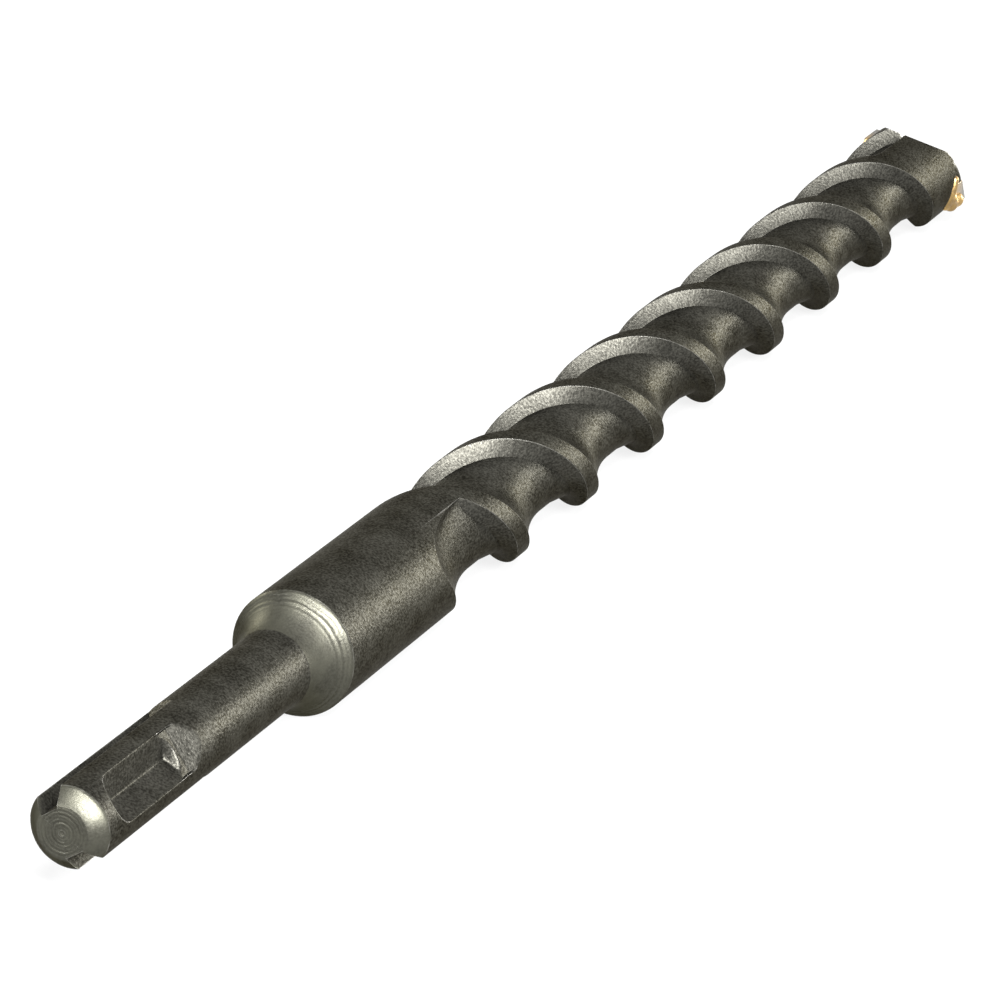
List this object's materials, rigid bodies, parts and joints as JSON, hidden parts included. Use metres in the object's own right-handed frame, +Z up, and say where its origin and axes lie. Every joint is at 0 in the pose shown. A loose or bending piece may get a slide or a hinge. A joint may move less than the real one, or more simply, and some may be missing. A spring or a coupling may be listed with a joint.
{
  "type": "hammer drill bit",
  "caption": "Masonry hammer drill bit: round shank with two open drive slots and two closed locking grooves, twin right-hand helical flutes and a brazed carbide plate tip.",
  "frame": {"origin": "below the middle of the bit's length, on the surface it lies on", "axes": "+X along the bit towards its tip, +Z up, +Y to the left when looking along +X"},
  "size_m": [0.3, 0.0176, 0.0162],
  "materials": {
    "blasted_steel": "satin grey, shot blasted after milling",
    "sintered_carbide": "dull dark grey with a smooth skin",
    "braze_alloy": "smooth, gold coloured"
  },
  "bodies": {
    "root": {"steel_body": "blasted_steel", "carbide_tip": "sintered_carbide", "braze_seam": "braze_alloy"}
  },
  "joints": []
}
